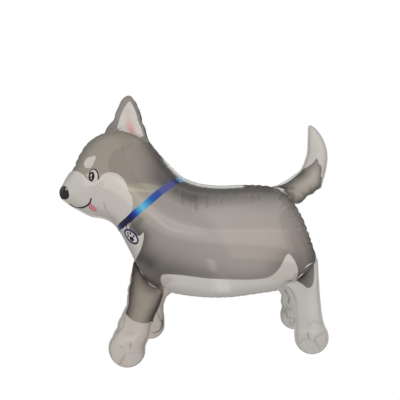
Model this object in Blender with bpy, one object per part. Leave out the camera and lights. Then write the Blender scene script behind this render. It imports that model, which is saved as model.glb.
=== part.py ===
# Husky foil balloon: a body, two ears, a tail and four legs, each a pair of
# foil sheets welded round the edge and inflated. The dog looks along -X.
import math

import bmesh
import bpy
import numpy as np
from mathutils import Vector, geometry

for old in list(bpy.data.objects):
    bpy.data.objects.remove(old, do_unlink=True)

MM = 0.001

# the whole balloon, nose to tail and floor to ear tips
balloon_length = 572.0 * MM
balloon_height = 534.0 * MM

# sheets and weld
flange_thickness = 0.8 * MM
weld_width = 5.0 * MM
back_weld_width = 8.0 * MM
belly_weld_width = 1.5 * MM
foot_weld_width = 1.2 * MM
leg_top_weld_width = 2.5 * MM
piece_gap = 0.35 * MM

# how far a sheet swells for the room it has
body_swell = 1.27
belly_fullness = 0.8
belly_height = 0.45 * balloon_height
belly_blend = 0.17 * balloon_height
leg_swell = 1.25
tail_swell = 1.0
ear_swell = 0.62

# legs: foot radii and places, and the width between the feet
front_foot_radius = 0.0654 * balloon_height
rear_foot_radius = 0.0605 * balloon_height
foot_squash = 2.6 * MM
foot_spacing = 98.0 * MM
front_foot_x = -0.2622 * balloon_length
rear_foot_x = 0.3226 * balloon_length

# ears stand either side of the crown
ear_spacing = 12.2 * MM

# from the side view's own zero to the middle of the whole length
middle_shift = 0.0297 * balloon_length

# the side view is drawn on a sheet of 572 by 534 units
long_unit = balloon_length / 572
tall_unit = balloon_height / 534

# the body's cut edge in side view, as (x, z) in drawing units, by stretches
head_top = [(-302.5, 343.5), (-296, 357.5), (-281.5, 379.5), (-267.5, 392), (-260.5, 408),
            (-250, 425), (-234, 444), (-209, 458), (-165.5, 465), (-134.5, 457.5), (-104.5, 438.5)]
neck_and_back = [(-84, 412), (-60, 380.5), (-36.5, 353), (-7, 336.5), (36.5, 327), (88.5, 324)]
rump = [(134, 319), (164.5, 308.5), (186, 287), (202.5, 256), (213.5, 221.5), (221.5, 185),
        (225.5, 159)]
underside = [(213.5, 133), (187.5, 112.5), (148, 103), (95, 98.5), (42.5, 96.5), (-5, 99.5),
             (-53.5, 107.5), (-95, 121), (-124.5, 144)]
chest_and_chin = [(-143, 169), (-152, 193), (-165.5, 224), (-179, 252), (-193, 270.5),
                  (-212, 280), (-236, 286), (-260, 300.5), (-282, 315.5), (-298, 330.5)]

# the tail and ear in the same side view
tail_edge = [(169.5, 315), (196.5, 330), (213.5, 342.5), (226, 369), (233.5, 402), (236.5, 430),
             (245, 435), (258.5, 417.5), (268, 389), (268, 356.5), (261, 329.5), (244.5, 304),
             (224.5, 290), (206.5, 278), (187, 276.5), (175, 291)]
ear_edge = [(-97.5, 429), (-105.5, 459.5), (-113, 488), (-120, 516), (-130, 534), (-143, 529.5),
            (-157, 506.5), (-172, 482.5), (-187.5, 455), (-173.5, 434.5), (-137.5, 422)]

# leg edges above the foot, as (x, z) from the foot's centre, going up
front_leg_front = [(-27, 23), (-19, 38), (-14, 52), (-10, 65), (-6, 79), (-7, 96), (-6, 113),
                   (-3, 136), (2, 153)]
front_leg_back = [(40, 16), (43.5, 27), (46, 38), (50.5, 51), (57, 66), (62.5, 81), (67, 94)]
front_leg_top = [(58, 103.5), (43, 111), (28, 122), (15, 137)]
rear_leg_front = [(-29, 16), (-25, 31), (-22.5, 45), (-20, 58), (-20.5, 69), (-26, 80), (-37, 90)]
rear_leg_back = [(25, 23), (24.5, 38), (28, 62), (33, 85), (37.5, 107), (41, 126), (40, 133)]
rear_leg_top = [(28, 125), (14, 115), (3, 105), (-12, 98)]

# where the tops of the legs wrap on to the body: x, z and distance from the middle
front_leg_wrap = ((4, 154, 10), (69, 97, 54))
rear_leg_wrap = ((44, 142, 10), (-29, 91, 54))
leg_bend_start = 11.0

# where the weld grows wider along the back, and thin under the belly
back_weld_ends = (-112, -70, 96, 150)
back_level = 300
belly_level = (175, 130)
leg_top_level = (84, 96)


def material(name, colour, roughness, metallic):
    mat = bpy.data.materials.new(name)
    mat.use_nodes = True
    shader = mat.node_tree.nodes["Principled BSDF"]
    shader.inputs["Base Color"].default_value = (*colour, 1.0)
    shader.inputs["Roughness"].default_value = roughness
    shader.inputs["Metallic"].default_value = metallic
    return mat


def ramp(value, start, end):
    return min(max((value - start) / (end - start), 0.0), 1.0)


def smooth_loop(points, step):
    """Closed spline through the drawn points, resampled at even steps."""
    pts = np.array(points, dtype=float) * (long_unit, tall_unit)
    n = len(pts)
    fine = []
    for i in range(n):
        p0, p1, p2, p3 = (pts[(i + k) % n] for k in (-1, 0, 1, 2))
        t1 = np.linalg.norm(p1 - p0) ** 0.5
        t2 = t1 + np.linalg.norm(p2 - p1) ** 0.5
        t3 = t2 + np.linalg.norm(p3 - p2) ** 0.5
        for t in np.linspace(t1, t2, 24, endpoint=False):
            a1 = (t1 - t) / t1 * p0 + t / t1 * p1
            a2 = (t2 - t) / (t2 - t1) * p1 + (t - t1) / (t2 - t1) * p2
            a3 = (t3 - t) / (t3 - t2) * p2 + (t - t2) / (t3 - t2) * p3
            b1 = (t2 - t) / t2 * a1 + t / t2 * a2
            b2 = (t3 - t) / (t3 - t1) * a2 + (t - t1) / (t3 - t1) * a3
            fine.append((t2 - t) / (t2 - t1) * b1 + (t - t1) / (t2 - t1) * b2)
    fine = np.array(fine)
    length = np.r_[0.0, np.cumsum(np.linalg.norm(np.roll(fine, -1, 0) - fine, axis=1))]
    count = int(round(length[-1] / step))
    at = np.arange(count) * length[-1] / count
    closed = np.vstack([fine, fine[:1]])
    loop = np.stack([np.interp(at, length, closed[:, k]) for k in (0, 1)], axis=1)
    area = 0.5 * np.sum(loop[:, 0] * np.roll(loop[:, 1], -1) - np.roll(loop[:, 0], -1) * loop[:, 1])
    return loop if area > 0 else loop[::-1]


def inset(loop, distance):
    """Each point moved inwards, square to the loop."""
    along = np.roll(loop, -1, 0) - np.roll(loop, 1, 0)
    along /= np.linalg.norm(along, axis=1)[:, None]
    inwards = np.stack([-along[:, 1], along[:, 0]], axis=1)
    return loop + inwards * np.reshape(distance, (-1, 1))


def edge_distance(points, loop):
    a = loop
    b = np.roll(loop, -1, 0)
    ab = b - a
    rel = points[:, None, :] - a[None]
    t = np.clip((rel * ab).sum(2) / (ab * ab).sum(1), 0.0, 1.0)
    return np.linalg.norm(rel - t[..., None] * ab, axis=2).min(1)


def is_inside(points, loop):
    x, z = points[:, :1], points[:, 1:]
    a, b = loop, np.roll(loop, -1, 0)
    crosses = (a[:, 1] > z) != (b[:, 1] > z)
    rise = np.where(b[:, 1] == a[:, 1], 1.0, b[:, 1] - a[:, 1])
    cut = a[:, 0] + (z - a[:, 1]) / rise * (b[:, 0] - a[:, 0])
    return (np.sum(crosses & (x < cut), axis=1) % 2) == 1


def flat_pattern(seam, rings, spacing):
    """Triangulate one sheet: the seam, rings inside it and an even middle."""
    layers = [seam]
    kept = np.empty((0, 2))
    for distance, every in rings:
        ring = inset(seam, distance)[::every]
        good = is_inside(ring, seam) & (edge_distance(ring, seam) > 0.93 * distance)
        ring = ring[good]
        if len(kept) and len(ring):
            apart = np.linalg.norm(ring[:, None] - kept[None], axis=2).min(1)
            ring = ring[apart > 0.3 * distance]
        single = []
        for p in ring:
            if all(np.linalg.norm(p - q) > 0.35 * distance for q in single):
                single.append(p)
        ring = np.array(single).reshape(-1, 2)
        layers.append(ring)
        kept = np.vstack([kept, ring])
    low, high = seam.min(0), seam.max(0)
    grid = []
    for row, z in enumerate(np.arange(low[1], high[1], spacing * 0.866)):
        for x in np.arange(low[0] + (row % 2) * spacing / 2, high[0], spacing):
            grid.append((x, z))
    grid = np.array(grid)
    grid = grid[is_inside(grid, seam)]
    grid = grid[edge_distance(grid, seam) > rings[-1][0] + 0.55 * spacing]
    layers.append(grid)
    points = np.vstack(layers)
    count = len(seam)
    edges = [(i, (i + 1) % count) for i in range(count)]
    result = geometry.delaunay_2d_cdt([Vector(p) for p in points], edges, [], 1, 1e-7)
    verts = np.array([v[:] for v in result[0]])
    origin = result[3]
    order = np.array([o[0] if o else -1 for o in origin])
    return verts, np.array(result[2]), order


def swell(verts, faces, fixed):
    """Height of a membrane blown up over the sheet, before scaling."""
    n = len(verts)
    stiff = np.zeros((n, n))
    load = np.zeros(n)
    for tri in faces:
        p = verts[tri]
        e = np.array([p[2] - p[1], p[0] - p[2], p[1] - p[0]])
        area = 0.5 * abs(e[0][0] * e[1][1] - e[0][1] * e[1][0])
        stiff[np.ix_(tri, tri)] += (e @ e.T) / (4.0 * area)
        load[tri] += area / 3.0
    free = ~fixed
    height = np.zeros(n)
    height[free] = np.linalg.solve(stiff[np.ix_(free, free)], load[free])
    return np.sqrt(np.maximum(height, 0.0))


def foil(name, edge, weld, lift, rings, spacing, step, bow=None, fuller=None):
    """One inflated piece in the XZ plane, with its weld standing out flat."""
    cut = smooth_loop(edge, step)
    width = np.array([weld(*p) for p in cut / (long_unit, tall_unit)])
    seam = inset(cut, width)
    verts, faces, order = flat_pattern(seam, [(d * MM, k) for d, k in rings], spacing)
    count = len(seam)
    on_seam = (order >= 0) & (order < count)
    half = lift * swell(verts, faces, on_seam)
    if fuller:
        half = fuller(verts, half)
    half += flange_thickness / 2

    bm = bmesh.new()
    near = [bm.verts.new((p[0], -h, p[1])) for p, h in zip(verts, half)]
    far = [bm.verts.new((p[0], h, p[1])) for p, h in zip(verts, half)]
    for a, b, c in faces:
        bm.faces.new((near[a], near[b], near[c]))
        bm.faces.new((far[c], far[b], far[a]))
    at = {int(order[i]): i for i in np.nonzero(on_seam)[0]}
    rim_near = [bm.verts.new((p[0], -flange_thickness / 2, p[1])) for p in cut]
    rim_far = [bm.verts.new((p[0], flange_thickness / 2, p[1])) for p in cut]
    for i in range(count):
        j = (i + 1) % count
        bm.faces.new((near[at[j]], near[at[i]], rim_near[i], rim_near[j]))
        bm.faces.new((far[at[i]], far[at[j]], rim_far[j], rim_far[i]))
        bm.faces.new((rim_near[j], rim_near[i], rim_far[i], rim_far[j]))
    if bow:
        for v in bm.verts:
            v.co.y += bow(v.co.x / long_unit, v.co.z / tall_unit)
    bmesh.ops.triangulate(bm, faces=bm.faces[:])
    bmesh.ops.recalc_face_normals(bm, faces=bm.faces[:])
    mesh = bpy.data.meshes.new(name)
    bm.to_mesh(mesh)
    bm.free()
    return mesh


def place(name, mesh, mat, group):
    obj = bpy.data.objects.new(name, mesh)
    group.objects.link(obj)
    obj.data.materials.append(mat)
    obj.parent = balloon
    return obj


def mirrored(mesh, name):
    """The same piece on the other side of the dog."""
    other = mesh.copy()
    other.name = name
    bm = bmesh.new()
    bm.from_mesh(other)
    for v in bm.verts:
        v.co.y = -v.co.y
    bmesh.ops.reverse_faces(bm, faces=bm.faces[:])
    bm.to_mesh(other)
    bm.free()
    return other


def foot_arc(radius, start, end, steps):
    """Points round the underside of a foot, by angle in degrees."""
    turn = [math.radians(start + (end - start) * i / (steps - 1)) for i in range(steps)]
    return [(radius * math.cos(a) / long_unit, radius * math.sin(a) / tall_unit) for a in turn]


def trim(piece, cutter):
    cut = piece.modifiers.new("trim", "BOOLEAN")
    cut.operation = "DIFFERENCE"
    cut.solver = "EXACT"
    cut.object = cutter


parts = bpy.data.collections.new("husky foil balloon")
cutters = bpy.data.collections.new("cutters")
bpy.context.scene.collection.children.link(parts)
bpy.context.scene.collection.children.link(cutters)
balloon = bpy.data.objects.new("balloon", None)
parts.objects.link(balloon)
balloon.location.x = middle_shift

grey_foil = material("grey printed foil", (0.33, 0.31, 0.28), 0.3, 0.0)
ear_foil = material("ear foil", (0.36, 0.34, 0.32), 0.3, 0.0)
tail_foil = material("tail foil", (0.55, 0.54, 0.52), 0.3, 0.0)
leg_foil = material("grey leg foil", (0.42, 0.39, 0.36), 0.3, 0.0)
white_foil = material("white foil", (0.68, 0.67, 0.64), 0.3, 0.0)


def body_weld(x, z):
    if z > back_level:
        start, full, easing, end = back_weld_ends
        on_back = ramp(x, start, full) * ramp(-x, -end, -easing)
        return weld_width + (back_weld_width - weld_width) * on_back
    return weld_width + (belly_weld_width - weld_width) * ramp(-z, *(-h for h in belly_level))


def even_weld(x, z):
    return weld_width


def leg_weld(x, z):
    """Narrow under the foot, where it folds flat, and where it lies on the body."""
    foot = ramp(-z, 5, 20)
    top = ramp(z, *leg_top_level)
    return weld_width + (foot_weld_width - weld_width) * foot + (leg_top_weld_width - weld_width) * top


def leg_bow(wrap):
    """How far a leg's middle leans in towards the body, higher up."""
    (xa, za, ya), (xb, zb, yb) = wrap

    def bow(x, z):
        k = min(max((x - xa) / (xb - xa), -0.2), 1.3)
        crease = za + (zb - za) * k
        reach = foot_spacing - (ya + (yb - ya) * k) * tall_unit
        t = ramp(z, leg_bend_start, crease)
        return reach * t * t * (3 - 2 * t)
    return bow


def full_belly(verts, half):
    """The body's lower half is fuller than an even pillow."""
    most = half.max()
    low = np.clip((belly_height - verts[:, 1]) / belly_blend, 0.0, 1.0)
    power = 1.0 + (belly_fullness - 1.0) * low * low * (3 - 2 * low)
    return most * (half / most) ** power


body_edge = head_top + neck_and_back + rump + underside + chest_and_chin
body = place("body", foil("body", body_edge, body_weld, body_swell, [(2.5, 1), (9, 1), (20, 2)],
                          19 * MM, 11 * MM, fuller=full_belly), grey_foil, parts)

# a copy of the body grown by the gap keeps its neighbours clear of it
clear = place("body_clearance", body.data.copy(), grey_foil, cutters)
grow = bmesh.new()
grow.from_mesh(clear.data)
grow.normal_update()
for v in grow.verts:
    v.co += v.normal * piece_gap * (1.35 if abs(v.co.y) < 1 * MM else 1.1)
grow.to_mesh(clear.data)
grow.free()

bpy.ops.mesh.primitive_cube_add(size=1.0, location=(0.02, 0.0, -0.05))
floor = bpy.context.active_object
floor.name = "floor_cut"
floor.scale = (0.7, 0.5, 0.1)
for group in floor.users_collection:
    group.objects.unlink(floor)
cutters.objects.link(floor)

leg_rings = [(2, 1), (7, 1), (15, 2)]
front_edge = (front_leg_front[::-1] + foot_arc(front_foot_radius, 165, 375, 9)
              + front_leg_back + front_leg_top)
rear_edge = (rear_leg_front[::-1] + foot_arc(rear_foot_radius, 170, 377, 9)
             + rear_leg_back + rear_leg_top)
leg_kinds = [
    ("front_leg", front_edge, front_foot_x, front_foot_radius, front_leg_wrap, leg_foil),
    ("rear_leg", rear_edge, rear_foot_x, rear_foot_radius, rear_leg_wrap, white_foil),
]
for kind, edge, foot_x, radius, wrap, mat in leg_kinds:
    left = foil(kind + "_left", edge, leg_weld, leg_swell, leg_rings, 14 * MM, 9.5 * MM,
                bow=leg_bow(wrap))
    for side, sign in (("left", -1), ("right", 1)):
        name = kind + "_" + side
        mesh = left if sign < 0 else mirrored(left, name)
        leg = place(name, mesh, mat, parts)
        leg.location = (foot_x, sign * foot_spacing, radius - foot_squash)
        trim(leg, clear)
        trim(leg, floor)

tail = place("tail", foil("tail", tail_edge, even_weld, tail_swell, [(2, 1), (7, 1)],
                          13 * MM, 10 * MM), tail_foil, parts)
trim(tail, clear)

left_ear = foil("ear_left", ear_edge, even_weld, ear_swell, [(2, 1), (7, 1)], 12 * MM, 9.5 * MM)
for side, sign in (("left", -1), ("right", 1)):
    mesh = left_ear if sign < 0 else mirrored(left_ear, "ear_right")
    ear = place("ear_" + side, mesh, ear_foil, parts)
    ear.location = (0.0, sign * ear_spacing, 0.0)
    trim(ear, clear)

for cutter in (clear, floor):
    cutter.hide_render = True
    cutter.display_type = "WIRE"
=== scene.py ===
# Looks for the husky foil balloon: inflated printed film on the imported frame
import math
import random

import bpy
import numpy as np
from mathutils import Matrix, Vector, geometry
from mathutils.bvhtree import BVHTree


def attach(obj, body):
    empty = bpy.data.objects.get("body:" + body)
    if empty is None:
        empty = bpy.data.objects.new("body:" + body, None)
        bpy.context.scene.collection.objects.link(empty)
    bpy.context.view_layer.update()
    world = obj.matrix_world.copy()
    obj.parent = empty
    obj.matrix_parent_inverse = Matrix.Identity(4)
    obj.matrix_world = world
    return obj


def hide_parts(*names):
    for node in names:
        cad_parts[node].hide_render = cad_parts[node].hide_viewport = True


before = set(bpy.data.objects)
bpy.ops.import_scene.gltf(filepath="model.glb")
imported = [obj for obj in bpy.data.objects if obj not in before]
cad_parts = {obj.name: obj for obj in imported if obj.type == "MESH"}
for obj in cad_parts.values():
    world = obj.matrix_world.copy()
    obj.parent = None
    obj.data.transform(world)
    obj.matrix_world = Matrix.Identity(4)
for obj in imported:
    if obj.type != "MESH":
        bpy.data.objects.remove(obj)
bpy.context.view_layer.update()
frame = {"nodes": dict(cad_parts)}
bpy.ops.object.select_all(action="DESELECT")
print("frame loaded:", ", ".join(frame["nodes"]))

# the side view is drawn in millimetres from its own zero, nose to the left
drawnShift = 17.0
film = {
    "weldThickness": 0.5,
    "step": 2.6,  # between points on the outline
    "spacing": 3.6,  # between points on the sheet
    "rings": [0.5, 1.3, 2.5, 4.2, 6.4, 9.2, 12.6, 16.4],  # rows of points inside the seam
    "sparseFrom": 12,  # rings further in have half the points
    "printStep": 0.9,  # between points along a printed line
    "crowding": 0.55,  # points nearer than this are dropped
    "flatEdge": 3.0,  # the fairing leaves this much at the seam alone
    "fairing": 40.0,  # how strongly the swell is smoothed
    "pullReach": 9.0,  # how far in from the seam the gathers draw the sheets
    "smoothAngle": 52,  # degrees, shaded smooth below it
    "lipMark": 20.0,  # stands for a lip where the distance beyond the seam is kept
    "unprinted": -9.0,  # well outside any printed patch
}


# drawing helpers

# screen colour 0-255 to the shader's linear colour
def tone(r, g, b):
    linear = [((c / 255 + 0.055) / 1.055) ** 2.4 if c > 10 else c / 3295 for c in (r, g, b)]
    return (*linear, 1.0)


# a smooth line through the drawn points
def curveThrough(points, perSpan=12, closed=False):
    pts = np.array(points, dtype=float)
    n = len(pts)
    spans = n if closed else n - 1
    line = []
    for i in range(spans):
        if closed:
            p0, p1, p2, p3 = (pts[(i + k) % n] for k in (-1, 0, 1, 2))
        else:
            p1, p2 = pts[i], pts[i + 1]
            p0 = pts[i - 1] if i else 2 * p1 - p2
            p3 = pts[i + 2] if i + 2 < n else 2 * p2 - p1
        t1 = max(np.linalg.norm(p1 - p0), 1e-6) ** 0.5
        t2 = t1 + max(np.linalg.norm(p2 - p1), 1e-6) ** 0.5
        t3 = t2 + max(np.linalg.norm(p3 - p2), 1e-6) ** 0.5
        for t in np.linspace(t1, t2, perSpan, endpoint=False):
            a1 = (t1 - t) / t1 * p0 + t / t1 * p1
            a2 = (t2 - t) / (t2 - t1) * p1 + (t - t1) / (t2 - t1) * p2
            a3 = (t3 - t) / (t3 - t2) * p2 + (t - t2) / (t3 - t2) * p3
            b1 = (t2 - t) / t2 * a1 + t / t2 * a2
            b2 = (t3 - t) / (t3 - t1) * a2 + (t - t1) / (t3 - t1) * a3
            line.append((t2 - t) / (t2 - t1) * b1 + (t - t1) / (t2 - t1) * b2)
    if not closed:
        line.append(pts[-1])
    return np.array(line)


# closed smooth outline at even steps, running anticlockwise
def evenLoop(points, step):
    fine = curveThrough(points, 24, closed=True)
    length = np.r_[0.0, np.cumsum(np.linalg.norm(np.roll(fine, -1, 0) - fine, axis=1))]
    count = int(round(length[-1] / step))
    at = np.arange(count) * length[-1] / count
    closed = np.vstack([fine, fine[:1]])
    loop = np.stack([np.interp(at, length, closed[:, k]) for k in (0, 1)], axis=1)
    area = np.sum(loop[:, 0] * np.roll(loop[:, 1], -1) - np.roll(loop[:, 0], -1) * loop[:, 1])
    return loop if area > 0 else loop[::-1]


def leftOf(along):
    along = along / np.linalg.norm(along, axis=1)[:, None]
    return np.stack([-along[:, 1], along[:, 0]], axis=1)


def inwards(loop):
    return leftOf(np.roll(loop, -1, 0) - np.roll(loop, 1, 0))


def acrossLine(line):
    return leftOf(np.gradient(line, axis=0))


def lineLength(line):
    return np.linalg.norm(np.diff(line, axis=0), axis=1).sum()


# distance from each point to a line, and where along it that is
def lineDistance(points, line, closed):
    a = line if closed else line[:-1]
    b = np.roll(line, -1, 0) if closed else line[1:]
    ab = b - a
    size = np.maximum((ab * ab).sum(1), 1e-12)
    reach = np.r_[0.0, np.cumsum(np.sqrt(size))]
    best = np.empty(len(points))
    along = np.empty(len(points))
    for start in range(0, len(points), 4000):
        part = points[start:start + 4000]
        rel = part[:, None, :] - a[None]
        t = np.clip((rel * ab).sum(2) / size, 0.0, 1.0)
        away = np.linalg.norm(rel - t[..., None] * ab, axis=2)
        k = away.argmin(1)
        rows = np.arange(len(part))
        best[start:start + 4000] = away[rows, k]
        along[start:start + 4000] = reach[k] + t[rows, k] * np.sqrt(size[k])
    return best, along


def isInside(points, loop):
    inside = np.zeros(len(points), dtype=bool)
    a, b = loop, np.roll(loop, -1, 0)
    rise = np.where(b[:, 1] == a[:, 1], 1.0, b[:, 1] - a[:, 1])
    for start in range(0, len(points), 4000):
        x = points[start:start + 4000, :1]
        z = points[start:start + 4000, 1:]
        crosses = (a[:, 1] > z) != (b[:, 1] > z)
        cut = a[:, 0] + (z - a[:, 1]) / rise * (b[:, 0] - a[:, 0])
        inside[start:start + 4000] = (np.sum(crosses & (x < cut), axis=1) % 2) == 1
    return inside


# signed distance to a printed patch, positive inside it
def patch(points, loop):
    away, _ = lineDistance(points, loop, True)
    return np.where(isInside(points, loop), away, -away)


# the same for a patch with a smooth outline
def softPatch(points, outline):
    return patch(points, curveThrough(outline, 8, closed=True))


# signed distance to a printed line, positive on the line; it may widen to its end
def stroke(points, line, halfWidth, endHalf=None):
    line = curveThrough(line, 8)
    away, along = lineDistance(points, line, False)
    total = lineLength(line)
    return halfWidth + ((endHalf or halfWidth) - halfWidth) * along / total - away


def oval(centre, halfLong, halfShort, turn=0.0, count=48):
    turn = math.radians(turn)
    out = []
    for i in range(count):
        a = 2 * math.pi * i / count
        x, z = halfLong * math.cos(a), halfShort * math.sin(a)
        out.append((centre[0] + x * math.cos(turn) - z * math.sin(turn),
                    centre[1] + x * math.sin(turn) + z * math.cos(turn)))
    return np.array(out)


def ease(value, start, end):
    t = np.clip((value - start) / (end - start), 0.0, 1.0)
    return t * t * (3 - 2 * t)


# from 0 at start to 1 at end in a straight line
def rise(value, start, end):
    return min(max((value - start) / (end - start), 0), 1)


# the foil pieces

# drops points that crowd into the same small cell
def thinOut(points, cell):
    keys = np.round(points / cell).astype(int)
    _, first = np.unique(keys, axis=0, return_index=True)
    return points[np.sort(first)]


def hexPoints(low, high, spacing):
    rows = []
    for row, z in enumerate(np.arange(low[1], high[1], spacing * 0.866)):
        x = np.arange(low[0] + (row % 2) * spacing / 2, high[0], spacing)
        rows.append(np.stack([x, np.full(len(x), z)], axis=1))
    return np.vstack(rows)


# points and triangles for one flat sheet, dense at the seam and the print
def layPattern(seam, finer, lines):
    normal = inwards(seam)
    layers = [seam]
    for i, distance in enumerate(film["rings"]):
        ring = (seam + normal * distance)[i % 2::2 if distance > film["sparseFrom"] else 1]
        away, _ = lineDistance(ring, seam, True)
        ring = ring[isInside(ring, seam) & (away > 0.96 * distance)]
        layers.append(ring)
    last = film["rings"][-1]
    grid = hexPoints(seam.min(0), seam.max(0), film["spacing"])
    away, _ = lineDistance(grid, seam, True)
    grid = grid[isInside(grid, seam) & (away > last + 0.6 * film["spacing"])]
    for x0, x1, z0, z1, spacing in finer:
        outside = (grid[:, 0] < x0) | (grid[:, 0] > x1) | (grid[:, 1] < z0) | (grid[:, 1] > z1)
        dense = hexPoints((x0, z0), (x1, z1), spacing)
        away, _ = lineDistance(dense, seam, True)
        dense = dense[isInside(dense, seam) & (away > 2.2)]
        grid = np.vstack([grid[outside], dense])
    layers.append(grid)
    for line, half in lines:
        fine = curveThrough(line, 30)
        wanted = max(int(lineLength(fine) / film["printStep"]), 1)
        fine = fine[::max(1, len(fine) // wanted)]
        for shift in (0.0, -half, half):
            row = fine + acrossLine(fine) * shift
            away, _ = lineDistance(row, seam, True)
            layers.append(row[isInside(row, seam) & (away > 1.5)])
    extra = thinOut(np.vstack(layers[1:]), film["crowding"])
    points = np.vstack([seam, extra])
    count = len(seam)
    edges = [(i, (i + 1) % count) for i in range(count)]
    result = geometry.delaunay_2d_cdt([Vector(p) for p in points], edges, [], 1, 1e-6)
    verts = np.array([v[:] for v in result[0]])
    faces = np.array(result[2])
    order = np.array([o[0] if o else -1 for o in result[3]])
    return verts, faces, order


# membrane solve by conjugate gradients: the bulge under pressure, or a fairer copy of start
def solveSheet(verts, faces, fixed, start=None, fairing=0.0):
    p = verts[faces]
    e = np.stack([p[:, 2] - p[:, 1], p[:, 0] - p[:, 2], p[:, 1] - p[:, 0]], axis=1)
    area = 0.5 * np.abs(e[:, 0, 0] * e[:, 1, 1] - e[:, 0, 1] * e[:, 1, 0])
    local = np.einsum("fik,fjk->fij", e, e) / (4 * np.maximum(area, 1e-9))[:, None, None]
    rows = np.repeat(faces, 3, axis=1).ravel()
    cols = np.tile(faces, (1, 3)).ravel()
    values = local.ravel()
    n = len(verts)
    lumped = np.bincount(faces.ravel(), np.repeat(area / 3, 3), n)
    stiff = np.bincount(rows[rows == cols], values[rows == cols], n)
    free = (~fixed).astype(float)
    if start is None:
        x, right, diagonal = np.zeros(n), lumped, stiff
    else:
        x, right, diagonal = start.copy(), lumped * start, lumped + fairing * stiff

    def times(x):
        out = np.bincount(rows, values * x[cols], n)
        return out if start is None else lumped * x + fairing * out

    r = (right - times(x)) * free
    z = r / diagonal
    d = z.copy()
    first = old = r @ z
    for _ in range(1500):
        q = times(d) * free
        alpha = old / (d @ q)
        x = x + alpha * d
        r = r - alpha * q
        z = r / diagonal
        new = r @ z
        if new < 1e-16 * first:
            break
        d = z + new / old * d
        old = new
    return x


# where the seam is gathered: weight and the creases along its length
def makePuckers(seam, gathers, seed):
    rng = random.Random(seed)
    steps = np.linalg.norm(np.roll(seam, -1, 0) - seam, axis=1)
    length = np.r_[0.0, np.cumsum(steps)]
    weight = np.zeros(len(seam))
    for (x0, z0), (x1, z1), amount in gathers["stretches"]:
        start = np.linalg.norm(seam - (x0, z0), axis=1).argmin()
        end = np.linalg.norm(seam - (x1, z1), axis=1).argmin()
        index = np.arange(len(seam))
        span = (end - start) % len(seam)
        along = (index - start) % len(seam)
        inside = along <= span
        fade = np.minimum(np.minimum(along, span - along) / max(0.12 * span, 1), 1.0)
        weight = np.maximum(weight, np.where(inside, amount * fade, 0.0))
    low, high = gathers["pitch"]
    creases = []
    at = 0.0
    while at < length[-1] - 0.5 * high:
        creases.append((at, rng.uniform(0.5, 1.0), rng.uniform(*gathers["reach"]),
                        rng.choice((-1, 1))))
        at += rng.uniform(low, high)
    creases.append((length[-1],) + creases[0][1:])
    return length, weight, np.array(creases)


# depth of the gathers at each point, 0 on a bulge and up to 1 in a crease
def gather(along, distance, length, weight, creases):
    w = np.interp(along, length, np.r_[weight, weight[:1]])
    k = np.clip(np.searchsorted(creases[:, 0], along, side="right") - 1, 0, len(creases) - 2)
    a, b = creases[k], creases[k + 1]
    t = (along - a[:, 0]) / (b[:, 0] - a[:, 0])
    pleat = 1.0 - np.sin(np.pi * np.clip(t, 0, 1)) ** 0.55
    fromA, fromB = (c[:, 1] * np.exp(-distance / c[:, 2]) for c in (a, b))
    depth = fromA * (1 - t) + fromB * t
    lean = a[:, 3] * (1 - t) + b[:, 3] * t
    return w, pleat, depth, lean


nearSheet, farSheet = (-1,), (1,)


# a crease in the film: its line, half its width, its depth, the darkness of the painted shade
# along it and the sheets it is on
def fold(line, half, depth, dark, sides=(-1, 1)):
    return {"line": line, "half": half, "depth": depth, "dark": dark, "sides": sides}


# how near each point lies to a fold, 1 on its line, and the fade towards its ends
def alongFold(points, fold, part):
    away, where = lineDistance(points, curveThrough(fold["line"], 20), False)
    total = where.max()
    fade = ease(where, 0, part * total) * ease(-where, -total, (part - 1) * total)
    return np.clip(1 - away / fold["half"], 0, 1), fade


# the surface nearest the viewer at a drawn point
def firstHit(x, z, trees):
    best = None
    for tree in trees:
        start = Vector(((x + drawnShift) / 1000, -0.4, z / 1000))
        hit = tree.ray_cast(start, Vector((0, 1, 0)))[0]
        if hit and (best is None or hit.y * 1000 < best):
            best = hit.y * 1000
    return best


# a thin strip of foil edge standing on the sheets along a crease
def addLip(coords, polygons, lip, trees, place):
    line = curveThrough(lip["line"], 10)
    across = acrossLine(line)
    base = len(coords)
    rows = []
    steps = np.arange(len(line))
    hits = [(i, y) for i, y in ((i, firstHit(*line[i], trees)) for i in steps) if y is not None]
    depth = np.polyval(np.polyfit([i for i, y in hits], [y for i, y in hits], 2), steps)
    for i, (point, side) in enumerate(zip(line, across)):
        taper = min(i, len(line) - 1 - i) / (0.4 * len(line))
        half = lip["width"] / 2 * min(1.0, 0.2 + taper)
        ends = []
        for sign in (-1, 1):
            x, z = point + side * half * sign
            ends.append((x, depth[i] - lip["lift"] * (1.0 if sign > 0 else 0.6), z))
        for back in (0.0, 0.5):
            rows += [(x - place[0], y - place[1] + back, z - place[2]) for x, y, z in ends]
    for i in range(len(line) - 1):
        a, b = base + 4 * i, base + 4 * i + 4
        polygons += [(a, b, b + 1, a + 1), (a + 2, a + 3, b + 3, b + 2),
                     (a, a + 2, b + 2, b), (a + 1, b + 1, b + 3, a + 3)]
    first, end = base, base + 4 * (len(line) - 1)
    polygons += [(first, first + 1, first + 3, first + 2), (end, end + 2, end + 3, end + 1)]
    return np.vstack([coords, rows])


# half the thickness of the filled piece at each point
def swellSheet(shape, verts, faces, onSeam, distance):
    bulge = solveSheet(verts, faces, onSeam)
    half = shape["swell"] * np.sqrt(np.maximum(bulge, 0.0))
    half = solveSheet(verts, faces, distance < film["flatEdge"], half, film["fairing"])
    return shape["fuller"](verts, half) if "fuller" in shape else half


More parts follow.
